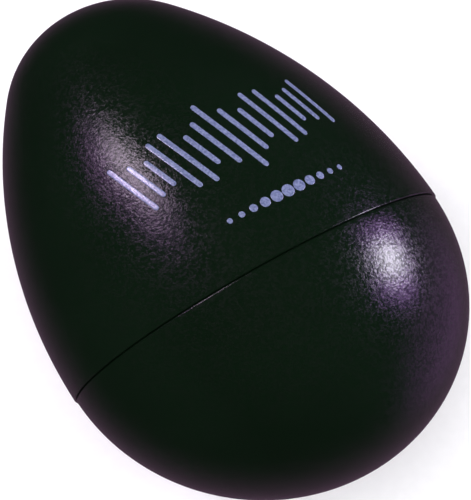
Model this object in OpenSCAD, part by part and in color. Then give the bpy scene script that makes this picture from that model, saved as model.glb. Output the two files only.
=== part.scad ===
// Egg shaker: a two-piece moulded egg, lap-jointed at its widest section and
// holding loose steel shot. The egg lies on its side, as it rests on a table,
// with its long axis along +X, the narrow end towards +X and the table at z = 0.

/* [Egg] */
// Length from the blunt end to the narrow end
egg_l = 57; // [52:0.5:64]
// Diameter at the widest section
egg_d = 42.5; // [40:0.5:46]
// Radius of the narrow end
nose_r = 13; // [11:0.5:15]

/* [Shells] */
// Wall thickness of the moulding
wall = 1.8; // [1.8:0.1:2.4]
// How far the lower shell's skin sits below the upper shell's at the seam
seam_step = 0.15; // [0.05:0.05:0.3]
// Rounding of the lower shell's outer edge at the seam
edge_round = 0.3; // [0.2:0.1:0.7]

/* [Lap joint] */
// Thickness of the lower shell's spigot
spigot_t = 0.8; // [0.6:0.1:0.8]
// Height of the spigot above the seam
spigot_l = 3; // [2:0.5:4]
// Gap round the spigot for the solvent weld
weld_gap = 0.1; // [0.05:0.05:0.2]

/* [Shot] */
// Diameter of a steel ball
shot_d = 4.5; // [3.5:0.5:4.5]
// Clearance between balls, and between a ball and the wall
shot_gap = 0.1; // [0.08:0.02:0.3]
// Distance of the middle of the heap from the blunt end
heap_x = 28.5; // [25:0.5:29]

/* [Hidden] */
$fn = 96;

// How many balls lie in each row of the heap, from the -Y side to the +Y side
ROWS = [4, 7, 6, 7, 4];

// Outline of the egg, measured along its axis from the blunt end
belly_r = egg_d / 2;
cap_r = belly_r - seam_step;
seam_x = cap_r;
nose_x = egg_l - nose_r;

// The flank's arc meets the belly square and runs on into the nose. Its centre
// lies level with the seam, flank_drop beyond the axis.
nose_run = nose_x - seam_x;
flank_drop = (nose_run * nose_run - pow(belly_r - nose_r, 2)) / (2 * (belly_r - nose_r));
flank_r = belly_r + flank_drop;
join_dir = [flank_drop, nose_run] / (flank_r - nose_r);

// An arc inside a larger one reaches this much past it, so that the two cross
arc_lap = 0.002;

spigot_r = belly_r - wall + spigot_t;

// Heap of shot
pitch = shot_d + shot_gap;
row_pitch = pitch * sqrt(3) / 2;
shot_inset = wall + shot_gap + shot_d / 2;

// Every ball's place in plan: [distance from the blunt end, distance from the axis]
SHOT = [
    for (row = [0 : len(ROWS) - 1])
        for (i = [0 : ROWS[row] - 1])
            [
                heap_x + (i - (ROWS[row] - 1) / 2) * pitch,
                (row - (len(ROWS) - 1) / 2) * row_pitch
            ]
];

SHOT_NAMES = [for (i = [1 : len(SHOT)]) str("shot_", i < 10 ? "0" : "", i)];

// Radius of the egg at x, drawn `inset` inside its skin
function egg_radius(x, inset) =
    x < seam_x
        ? sqrt(pow(belly_r - inset, 2) - pow(x - seam_x, 2))
        : x < nose_x + join_dir[1] * (nose_r - inset)
            ? sqrt(pow(flank_r - inset, 2) - pow(x - seam_x, 2)) - flank_drop
            : sqrt(pow(nose_r - inset, 2) - pow(x - nose_x, 2));

// Height at which a ball rests on the wall
function rest_height(place) =
    belly_r - sqrt(pow(egg_radius(place[0], shot_inset), 2) - pow(place[1], 2));

// Turns a section drawn as [radius, x] about the egg's axis
module turn() {
    translate([-egg_l / 2, 0, belly_r])
        rotate([0, 90, 0])
            rotate_extrude()
                children();
}

// Half of the egg's long section, drawn `inset` inside its skin
module egg_section(inset) {
    join = [0, nose_x] + join_dir * egg_l;

    intersection() {
        translate([0, seam_x])
            circle(belly_r - inset);
        square([egg_l, seam_x]);
    }
    intersection() {
        translate([-flank_drop, seam_x])
            circle(flank_r - inset);
        polygon([[0, seam_x], [egg_l, seam_x], join, [0, nose_x]]);
    }
    intersection() {
        translate([0, nose_x])
            circle(nose_r - inset + arc_lap);
        translate([0, nose_x - nose_r])
            square(2 * nose_r);
    }
}

// Half of the lower shell's section while still solid: a half ball with a rounded edge
module cap_section() {
    edge_x = seam_x - edge_round;
    edge_r = sqrt(pow(cap_r - edge_round, 2) - pow(edge_round, 2));
    join = [2 * edge_r, seam_x - 2 * edge_round];

    intersection() {
        translate([0, seam_x])
            circle(cap_r);
        polygon([[0, seam_x], join, [join[0], -egg_l], [0, -egg_l]]);
    }
    translate([edge_r, edge_x])
        circle(edge_round + arc_lap);
    translate([0, edge_x - edge_round])
        square([edge_r, 2 * edge_round]);
}

// Narrow end of the egg, with a rebate inside its rim for the spigot
module upper_shell() {
    color([0.09, 0.11, 0.10])
        turn()
            difference() {
                egg_section(0);
                egg_section(wall);
                square([egg_l, seam_x]);
                square([spigot_r + weld_gap, seam_x + spigot_l + weld_gap]);
            }
}

// Blunt end of the egg, with a spigot that enters the upper shell
module lower_shell() {
    color([0.09, 0.11, 0.10])
        turn()
            difference() {
                union() {
                    cap_section();
                    translate([0, seam_x - edge_round])
                        square([spigot_r, spigot_l + edge_round]);
                }
                egg_section(wall);
            }
}

// One steel ball, resting on the wall below it
module shot(place) {
    color([0.72, 0.74, 0.76])
        translate([place[0] - egg_l / 2, place[1], rest_height(place)])
            sphere(d = shot_d);
}

upper_shell();
lower_shell();
for (i = [0 : len(SHOT) - 1])
    shot(SHOT[i]);
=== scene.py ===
"""The looks of the egg shaker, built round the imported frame.

Two moulded shells, the printed mark and the steel shot ride on the frame's bodies. A pale table,
soft lights and the camera stage them. Lengths are in metres, in the row frame: the egg's long axis
runs along +X towards its narrow end, and the table is at z = 0.
"""

import math

import bmesh
import bpy
from mathutils import Matrix, Vector


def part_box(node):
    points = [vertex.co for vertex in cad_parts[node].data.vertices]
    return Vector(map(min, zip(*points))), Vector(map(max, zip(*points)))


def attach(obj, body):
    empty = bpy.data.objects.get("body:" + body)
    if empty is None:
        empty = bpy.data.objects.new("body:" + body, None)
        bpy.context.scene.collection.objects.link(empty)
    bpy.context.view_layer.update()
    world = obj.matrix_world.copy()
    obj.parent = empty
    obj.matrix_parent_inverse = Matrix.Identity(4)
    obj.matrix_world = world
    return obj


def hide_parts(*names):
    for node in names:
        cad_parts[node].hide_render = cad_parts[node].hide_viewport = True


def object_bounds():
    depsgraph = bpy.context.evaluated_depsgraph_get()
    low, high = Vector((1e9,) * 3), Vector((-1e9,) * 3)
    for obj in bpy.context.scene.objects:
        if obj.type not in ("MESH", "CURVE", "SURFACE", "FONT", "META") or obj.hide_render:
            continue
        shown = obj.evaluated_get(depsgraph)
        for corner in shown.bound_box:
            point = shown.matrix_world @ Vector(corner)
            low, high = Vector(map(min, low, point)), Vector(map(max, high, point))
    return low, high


MM = 0.001

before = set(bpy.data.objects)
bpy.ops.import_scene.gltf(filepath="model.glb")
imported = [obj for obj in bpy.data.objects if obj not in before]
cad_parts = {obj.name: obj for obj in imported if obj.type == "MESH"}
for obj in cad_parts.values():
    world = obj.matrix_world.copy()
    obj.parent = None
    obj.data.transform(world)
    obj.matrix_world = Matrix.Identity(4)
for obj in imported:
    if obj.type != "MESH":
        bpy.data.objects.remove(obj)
cad_low, cad_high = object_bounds()

# ---- The egg's shape: places from the frame, the rest as the CAD model has it ----

upper_low, upper_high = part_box("upper_shell")
lower_low, lower_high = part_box("lower_shell")

AXIS_Z = (upper_low.z + upper_high.z) / 2
SEAM_X = upper_low.x
BELLY_R = (upper_high.y - upper_low.y) / 2
CAP_R = SEAM_X - lower_low.x
NOSE_R = 13 * MM
NOSE_X = upper_high.x - NOSE_R
WALL = 1.8 * MM
EDGE_ROUND = 0.3 * MM
RIM_ROUND = 0.1 * MM
LEAD_IN = 0.2 * MM
SPIGOT_R = BELLY_R - WALL + 0.8 * MM
SPIGOT_X = lower_high.x
REBATE_GAP = 0.1 * MM

# The flank's arc meets the belly square and runs on into the nose
NOSE_RUN = NOSE_X - SEAM_X
FLANK_DROP = (NOSE_RUN**2 - (BELLY_R - NOSE_R) ** 2) / (2 * (BELLY_R - NOSE_R))
FLANK_R = BELLY_R + FLANK_DROP
JOIN_ANGLE = math.atan2(FLANK_DROP, NOSE_RUN)

RING_POINTS = 192
ARC_STEP = 0.5 * MM
EDGE_STEP = 0.05 * MM
ON_AXIS = 0.0001 * MM
SHARP_ANGLE = math.radians(35)


def flank_radius(x):
    """Radius of the flank's skin at x."""
    return math.sqrt(FLANK_R**2 - (x - SEAM_X) ** 2) - FLANK_DROP


def arc(centre, radius, start, end, step=ARC_STEP):
    """Points (x, r) along an arc; angles are measured from the +X axis towards the skin."""
    count = max(4, math.ceil(abs(end - start) * radius / step))
    angles = [start + (end - start) * i / count for i in range(count + 1)]
    return [(centre[0] + radius * math.cos(a), centre[1] + radius * math.sin(a)) for a in angles]


def revolve(name, section):
    """A closed solid: a section drawn from the axis back to the axis, turned about the egg's axis."""
    mesh = bmesh.new()
    turns = [2 * math.pi * i / RING_POINTS for i in range(RING_POINTS)]
    rings = []
    for x, radius in section:
        around = [(x, radius * math.sin(t), AXIS_Z + radius * math.cos(t)) for t in turns]
        if radius < ON_AXIS:
            around = [(x, 0, AXIS_Z)]
        rings.append([mesh.verts.new(point) for point in around])
    for ring, following in zip(rings, rings[1:]):
        for i in range(RING_POINTS):
            j = (i + 1) % RING_POINTS
            corners = [ring[i % len(ring)], ring[j % len(ring)]]
            corners += [following[j % len(following)], following[i % len(following)]]
            mesh.faces.new(list(dict.fromkeys(corners)))
    return finish_mesh(name, mesh)


def finish_mesh(name, mesh):
    """Turns a bmesh into a smooth-shaded object with its real corners kept sharp."""
    bmesh.ops.recalc_face_normals(mesh, faces=mesh.faces)
    data = bpy.data.meshes.new(name)
    mesh.to_mesh(data)
    mesh.free()
    data.shade_smooth()
    data.set_sharp_from_angle(angle=SHARP_ANGLE)
    piece = bpy.data.objects.new(name, data)
    bpy.context.collection.objects.link(piece)
    return piece


def upper_section():
    """The narrow end: nose, flank, a sharp rim, the rebate for the spigot, and the inside."""
    rebate_r = SPIGOT_R + REBATE_GAP
    rebate_x = SPIGOT_X + REBATE_GAP
    inner_start = math.acos((rebate_x - SEAM_X) / (FLANK_R - WALL))
    points = arc((NOSE_X, 0), NOSE_R, 0, JOIN_ANGLE)
    points += arc((SEAM_X, -FLANK_DROP), FLANK_R, JOIN_ANGLE, math.pi / 2 - RIM_ROUND / FLANK_R)[1:]
    points += arc((SEAM_X + RIM_ROUND, BELLY_R - RIM_ROUND), RIM_ROUND, math.pi / 2, math.pi)
    points += [(SEAM_X, rebate_r), (rebate_x, rebate_r)]
    points += arc((SEAM_X, -FLANK_DROP), FLANK_R - WALL, inner_start, JOIN_ANGLE)
    points += arc((NOSE_X, 0), NOSE_R - WALL, JOIN_ANGLE, 0)[1:]
    return points


def lower_section():
    """The blunt end: a half ball with a rounded edge, the spigot with its lead-in, and the inside."""
    edge_x = SEAM_X - EDGE_ROUND
    edge_r = math.sqrt((CAP_R - EDGE_ROUND) ** 2 - EDGE_ROUND**2)
    edge_angle = math.atan2(edge_r, edge_x - SEAM_X)
    inner_end = math.acos((SPIGOT_X - SEAM_X) / (FLANK_R - WALL))
    points = arc((SEAM_X, 0), CAP_R, math.pi, edge_angle)
    points += arc((edge_x, edge_r), EDGE_ROUND, edge_angle, 0, step=EDGE_STEP)[1:]
    points += [(SEAM_X, SPIGOT_R), (SPIGOT_X - LEAD_IN, SPIGOT_R), (SPIGOT_X, SPIGOT_R - LEAD_IN)]
    points += arc((SEAM_X, -FLANK_DROP), FLANK_R - WALL, inner_end, math.pi / 2)
    points += arc((SEAM_X, 0), BELLY_R - WALL, math.pi / 2, math.pi)[1:]
    return points


# ---- The printed mark: a row of slanted bars above a row of dots, generic and without letters ----

PRINT_LIFT = 0.03 * MM
PRINT_SINK = 0.05 * MM
STROKE_W = 0.55 * MM
BAR_LEAN = math.radians(19)
BAR_COUNT = 15
BAR_PITCH = 1.62 * MM
BAR_ROW_X = 6.0 * MM
BAR_ROW_START = 4.0 * MM
BAR_SHORTEST = 2.2 * MM
BAR_LONGEST = 9.5 * MM
BAR_BEAT = 3.5
BAR_LOWEST_BEAT = 0.25
BAR_END_SWELL = 0.55
DOT_COUNT = 11
DOT_PITCH = 1.36 * MM
DOT_ROW_X = -2.0 * MM
DOT_ROW_START = -2.4 * MM
DOT_SMALL = 0.55 * MM
DOT_LARGE = 1.3 * MM
DOT_STRETCH = 0.05 * MM
STATIONS = 28
CROSS_STEPS = 10
DOME_POWER = 8


def on_skin(x, along, height):
    """The point at x, at a distance along the skin's girth from its top, height above the skin."""
    radius = flank_radius(x)
    turn = along / radius
    slope = (x - SEAM_X) / (radius + FLANK_DROP)
    outward = Vector((slope, math.sin(turn), math.cos(turn))).normalized()
    return Vector((x, radius * math.sin(turn), AXIS_Z + radius * math.cos(turn))) + outward * height


def add_stroke(mesh, centre, length, width, lean):
    """Adds one stroke to the mesh, flat on top with rounded edges and round ends, closed all round.

    centre is (x, distance along the girth), and length is measured between the middles of the ends."""
    half = length / 2 + width / 2
    upper, lower = [], []
    for i in range(STATIONS + 1):
        along = -half * math.cos(math.pi * i / STATIONS)
        past_end = max(0.0, abs(along) - length / 2)
        reach = math.sqrt(max(0.0, (width / 2) ** 2 - past_end**2))
        top, bottom = [], []
        for j in range(CROSS_STEPS + 1):
            across = -reach * math.cos(math.pi * j / CROSS_STEPS)
            x = centre[0] + along * math.cos(lean) - across * math.sin(lean)
            girth = centre[1] + along * math.sin(lean) + across * math.cos(lean)
            edge = math.hypot(across, past_end) / (width / 2)
            dome = PRINT_LIFT * math.sqrt(max(0.0, 1 - edge**DOME_POWER))
            if i in (0, STATIONS):
                top = bottom = [mesh.verts.new(on_skin(x, girth, 0))]
                break
            rim = j in (0, CROSS_STEPS)
            top.append(mesh.verts.new(on_skin(x, girth, 0 if rim else dome)))
            bottom.append(top[-1] if rim else mesh.verts.new(on_skin(x, girth, -PRINT_SINK)))
        upper.append(top)
        lower.append(bottom)
    for rows in (upper, lower):
        for row, following in zip(rows, rows[1:]):
            for j in range(CROSS_STEPS):
                corners = [row[min(j, len(row) - 1)], row[min(j + 1, len(row) - 1)]]
                corners += [following[min(j + 1, len(following) - 1)], following[min(j, len(following) - 1)]]
                mesh.faces.new(list(dict.fromkeys(corners)))


def swell(i, count, low, high):
    """A size that rises smoothly from low at both ends of a row to high in the middle."""
    return low + (high - low) * math.sin(math.pi * i / (count - 1)) ** 2


def bar_length(i):
    """Bars rise and fall in a regular beat under one long swell."""
    beat = 0.5 + 0.5 * math.cos(2 * math.pi * i / BAR_BEAT)
    share = BAR_LOWEST_BEAT + (1 - BAR_LOWEST_BEAT) * beat
    return BAR_SHORTEST + (BAR_LONGEST - BAR_SHORTEST) * share * swell(i, BAR_COUNT, BAR_END_SWELL, 1)


def printed_mark():
    """Both rows of the mark as one piece."""
    mesh = bmesh.new()
    for i in range(BAR_COUNT):
        centre = (BAR_ROW_X, BAR_ROW_START - i * BAR_PITCH)
        add_stroke(mesh, centre, bar_length(i), STROKE_W, BAR_LEAN)
    for i in range(DOT_COUNT):
        centre = (DOT_ROW_X, DOT_ROW_START - i * DOT_PITCH)
        add_stroke(mesh, centre, DOT_STRETCH, swell(i, DOT_COUNT, DOT_SMALL, DOT_LARGE), BAR_LEAN)
    return finish_mesh("printed_mark", mesh)


# ---- Materials ----

# Cells or waves of the moulded grain in a metre
GRAIN = 4300

# The part of a texture's range that its values mostly fill
TEXTURE_LOW = 0.3
TEXTURE_HIGH = 0.7
BLEND_START = 0.35
BLEND_END = 0.65


def new_material(name):
    """A node material, its tree and its shader."""
    material = bpy.data.materials.new(name)
    material.use_nodes = True
    tree = material.node_tree
    shader = tree.nodes["Principled BSDF"]
    return material, tree, shader


def noise(tree, scale, detail=2.0, roughness=0.5):
    """A noise texture in the row frame, with its scale in features a metre."""
    place = tree.nodes.new("ShaderNodeTexCoord")
    texture = tree.nodes.new("ShaderNodeTexNoise")
    texture.inputs["Scale"].default_value = scale
    texture.inputs["Detail"].default_value = detail
    texture.inputs["Roughness"].default_value = roughness
    tree.links.new(place.outputs["Object"], texture.inputs["Vector"])
    return texture


def pits(tree, scale):
    """A random value for each of many small cells, scale of them to a metre."""
    place = tree.nodes.new("ShaderNodeTexCoord")
    texture = tree.nodes.new("ShaderNodeTexVoronoi")
    texture.inputs["Scale"].default_value = scale
    tree.links.new(place.outputs["Object"], texture.inputs["Vector"])
    return texture.outputs["Color"]


def spread(tree, source, low, high):
    """The source's middle range mapped onto low to high."""
    ramp = tree.nodes.new("ShaderNodeMapRange")
    ramp.inputs["From Min"].default_value = TEXTURE_LOW
    ramp.inputs["From Max"].default_value = TEXTURE_HIGH
    ramp.inputs["To Min"].default_value = low
    ramp.inputs["To Max"].default_value = high
    tree.links.new(source, ramp.inputs["Value"])
    return ramp.outputs["Result"]


def blend_colours(tree, source, first, second):
    """Two colours mixed by the source's middle range."""
    ramp = tree.nodes.new("ShaderNodeValToRGB")
    ramp.color_ramp.elements[0].position = BLEND_START
    ramp.color_ramp.elements[0].color = (*first, 1)
    ramp.color_ramp.elements[1].position = BLEND_END
    ramp.color_ramp.elements[1].color = (*second, 1)
    tree.links.new(source, ramp.inputs["Fac"])
    return ramp.outputs["Color"]


def bump(tree, shader, source, distance):
    """Raises the surface by the source, distance high."""
    node = tree.nodes.new("ShaderNodeBump")
    node.inputs["Strength"].default_value = 1
    node.inputs["Distance"].default_value = distance
    tree.links.new(source, node.inputs["Height"])
    tree.links.new(node.outputs["Normal"], shader.inputs["Normal"])


def shell_material():
    """Black moulded plastic with a fine spark-eroded grain."""
    material, tree, shader = new_material("shell_plastic")
    grain = noise(tree, GRAIN, detail=2.0, roughness=0.6)
    patches = noise(tree, 90)
    tree.links.new(
        blend_colours(tree, patches.outputs["Fac"], (0.0022, 0.0064, 0.0028), (0.0026, 0.0074, 0.0033)),
        shader.inputs["Base Color"],
    )
    cells = pits(tree, GRAIN)
    tree.links.new(spread(tree, cells, 0.14, 0.26), shader.inputs["Roughness"])
    tree.links.new(spread(tree, cells, 0.25, 0.75), shader.inputs["Specular IOR Level"])
    shader.inputs["IOR"].default_value = 1.52
    bump(tree, shader, grain.outputs["Fac"], 0.025 * MM)
    return material


def ink_material():
    """Violet screen-printing ink that shows the grain below it a little."""
    material, tree, shader = new_material("print_ink")
    grain = noise(tree, GRAIN, detail=2.0, roughness=0.6)
    tree.links.new(
        blend_colours(tree, grain.outputs["Fac"], (0.083, 0.102, 0.20), (0.175, 0.205, 0.355)),
        shader.inputs["Base Color"],
    )
    tree.links.new(spread(tree, pits(tree, GRAIN), 0.18, 0.30), shader.inputs["Roughness"])
    shader.inputs["IOR"].default_value = 2.0
    bump(tree, shader, grain.outputs["Fac"], 0.02 * MM)
    return material


def steel_material():
    """Tumbled steel with fine scuffs."""
    material, tree, shader = new_material("steel_shot")
    scuffs = noise(tree, 3500, detail=4.0, roughness=0.7)
    tree.links.new(
        blend_colours(tree, scuffs.outputs["Fac"], (0.42, 0.42, 0.43), (0.66, 0.66, 0.65)),
        shader.inputs["Base Color"],
    )
    tree.links.new(spread(tree, scuffs.outputs["Fac"], 0.18, 0.42), shader.inputs["Roughness"])
    shader.inputs["Metallic"].default_value = 1.0
    bump(tree, shader, scuffs.outputs["Fac"], 0.004 * MM)
    return material


def table_material():
    """Pale matt card."""
    material, tree, shader = new_material("table_card")
    fibres = noise(tree, 900, detail=4.0)
    tree.links.new(
        blend_colours(tree, fibres.outputs["Fac"], (0.95, 0.95, 0.95), (0.97, 0.97, 0.97)),
        shader.inputs["Base Color"],
    )
    shader.inputs["Roughness"].default_value = 0.9
    return material


def paint(piece, material):
    """Gives the piece this one material."""
    piece.data.materials.clear()
    piece.data.materials.append(material)


# ---- Camera ----

VIEW_ELEVATION = math.radians(81.83)
VIEW_ROLL = math.radians(32.65)
VIEW_DISTANCE = 600 * MM
FOCAL = 10.53
LEAN_RIGHT = math.radians(20.27)
LEAN_DOWN = math.radians(3.88)
EGG_LEFT = 0.042
EGG_HIGH = 0.0176
SENSOR = 36
CLIP_START = 0.01


def place_camera():
    """The reference view: almost overhead, with the narrow end at the upper left.

    The reference is cut from the side of a wider picture, so its picture plane leans away from square
    to the line of sight. The camera hangs from a mount that leans the plane in the same way. Focal
    length and offsets are shares of the picture's longer side."""
    back = Vector((-math.cos(VIEW_ELEVATION), 0, math.sin(VIEW_ELEVATION)))
    level_up = Vector((math.sin(VIEW_ELEVATION), 0, math.cos(VIEW_ELEVATION)))
    level_right = level_up.cross(back)
    up = math.cos(VIEW_ROLL) * level_up + math.sin(VIEW_ROLL) * level_right
    right = math.cos(VIEW_ROLL) * level_right - math.sin(VIEW_ROLL) * level_up

    normal = (back + math.tan(LEAN_RIGHT) * right - math.tan(LEAN_DOWN) * up).normalized()
    plane_right = (right - right.dot(normal) * normal).normalized()
    plane_up = normal.cross(plane_right)
    egg_ray = -back / back.dot(normal)
    middle_ray = egg_ray + EGG_LEFT / FOCAL * plane_right - EGG_HIGH / FOCAL * plane_up
    eye = Vector(((cad_low.x + cad_high.x) / 2, 0, AXIS_Z)) + back * VIEW_DISTANCE

    mount = bpy.data.objects.new("camera_mount", None)
    camera = bpy.data.objects.new("camera", bpy.data.cameras.new("camera"))
    bpy.context.collection.objects.link(mount)
    bpy.context.collection.objects.link(camera)
    columns = [(*axis, 0) for axis in (plane_right, plane_up, -middle_ray.normalized())]
    camera.parent = mount
    camera.matrix_parent_inverse = Matrix([*columns, (*eye, 1)]).transposed()
    camera.data.sensor_width = SENSOR
    camera.data.lens = FOCAL * middle_ray.length * SENSOR
    camera.data.clip_start = CLIP_START
    bpy.context.scene.camera = camera


# ---- Table, lights and surroundings ----

TABLE_REACH = 3
ROOM_BRIGHTNESS = 0.86
BELOW_GLOW_REACH = math.radians(70)
BESIDE_GLOW_REACH = math.radians(36)


def place_table():
    """A wide pale table top that the glossy shells don't mirror."""
    mesh = bmesh.new()
    bmesh.ops.create_grid(mesh, x_segments=1, y_segments=1, size=TABLE_REACH)
    table = finish_mesh("table", mesh)
    table.visible_glossy = False
    paint(table, table_material())


def place_softbox(name, towards, distance, width, height, power, colour, glossy=True):
    """A soft light of this width and height that faces the egg from the given direction."""
    light = bpy.data.lights.new(name, "AREA")
    light.shape = "RECTANGLE"
    light.size = width
    light.size_y = height
    light.energy = power
    light.color = colour
    softbox = bpy.data.objects.new(name, light)
    direction = Vector(towards).normalized()
    softbox.location = Vector((0, 0, AXIS_Z)) + direction * distance
    softbox.rotation_euler = direction.to_track_quat("Z", "Y").to_euler()
    softbox.visible_camera = False
    softbox.visible_glossy = glossy
    bpy.context.collection.objects.link(softbox)


def place_lights():
    """A window by the narrow end and a softbox by the blunt end, each in a violet haze, and a fill."""
    place_softbox(
        "window",
        towards=(0.695, 0.275, 0.66),
        distance=0.5,
        width=0.075,
        height=0.18,
        power=0.44,
        colour=(1.0, 0.88, 1.0),
    )
    place_softbox(
        "window_haze",
        towards=(0.66, 0.35, 0.66),
        distance=0.52,
        width=0.16,
        height=0.34,
        power=0.31,
        colour=(0.80, 0.30, 1.0),
    )
    place_softbox(
        "side_softbox",
        towards=(-0.265, -0.955, 0.12),
        distance=0.35,
        width=0.085,
        height=0.085,
        power=0.40,
        colour=(0.93, 1.0, 0.97),
    )
    place_softbox(
        "side_haze",
        towards=(-0.27, -0.955, 0.11),
        distance=0.37,
        width=0.21,
        height=0.15,
        power=0.40,
        colour=(0.66, 0.26, 1.0),
    )
    place_softbox(
        "fill",
        towards=(0, 0, 1),
        distance=0.9,
        width=0.9,
        height=0.9,
        power=6,
        colour=(1, 1, 1),
        glossy=False,
    )


def glow(tree, towards, reach, colour):
    """A glow of the room round one direction, fading to nothing at the angle reach from it."""
    place = tree.nodes.new("ShaderNodeTexCoord")
    lean = tree.nodes.new("ShaderNodeVectorMath")
    lean.operation = "DOT_PRODUCT"
    lean.inputs[1].default_value = Vector(towards).normalized()
    fade = tree.nodes.new("ShaderNodeMapRange")
    fade.interpolation_type = "SMOOTHSTEP"
    fade.inputs["From Min"].default_value = math.cos(reach)
    fade.inputs["From Max"].default_value = 1
    light = tree.nodes.new("ShaderNodeBackground")
    light.inputs["Color"].default_value = (*colour, 1)
    tree.links.new(place.outputs["Generated"], lean.inputs[0])
    tree.links.new(lean.outputs["Value"], fade.inputs["Value"])
    tree.links.new(fade.outputs["Result"], light.inputs["Strength"])
    return light.outputs["Background"]


def light_surroundings():
    """An even white room. The glossy shells see it dark, with a mauve glow below and to one side."""
    world = bpy.data.worlds.new("studio")
    bpy.context.scene.world = world
    world.use_nodes = True
    tree = world.node_tree
    room = tree.nodes["Background"]
    room.inputs["Color"].default_value = (1, 1, 1, 1)
    room.inputs["Strength"].default_value = ROOM_BRIGHTNESS

    below = glow(tree, (0, 0, -1), BELOW_GLOW_REACH, (0.14, 0.08, 0.13))
    beside = glow(tree, (-0.45, -0.72, -0.53), BESIDE_GLOW_REACH, (0.30, 0.12, 0.36))
    mirrored = tree.nodes.new("ShaderNodeAddShader")
    ray = tree.nodes.new("ShaderNodeLightPath")
    choice = tree.nodes.new("ShaderNodeMixShader")
    tree.links.new(below, mirrored.inputs[0])
    tree.links.new(beside, mirrored.inputs[1])
    tree.links.new(ray.outputs["Is Glossy Ray"], choice.inputs["Fac"])
    tree.links.new(room.outputs["Background"], choice.inputs[1])
    tree.links.new(mirrored.outputs["Shader"], choice.inputs[2])
    tree.links.new(choice.outputs["Shader"], tree.nodes["World Output"].inputs["Surface"])


# ---- Assembly ----

shell_plastic = shell_material()
print_ink = ink_material()
steel_shot = steel_material()

upper = revolve("upper_moulding", upper_section())
lower = revolve("lower_moulding", lower_section())
mark = printed_mark()

for moulding, node in ((upper, "upper_shell"), (lower, "lower_shell")):
    paint(moulding, shell_plastic)
    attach(moulding, "shell")
    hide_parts(node)

paint(mark, print_ink)
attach(mark, "shell")

for name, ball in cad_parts.items():
    if name.startswith("shot_"):
        paint(ball, steel_shot)

place_table()
place_lights()
light_surroundings()
place_camera()
bpy.context.scene.view_settings.view_transform = "Standard"
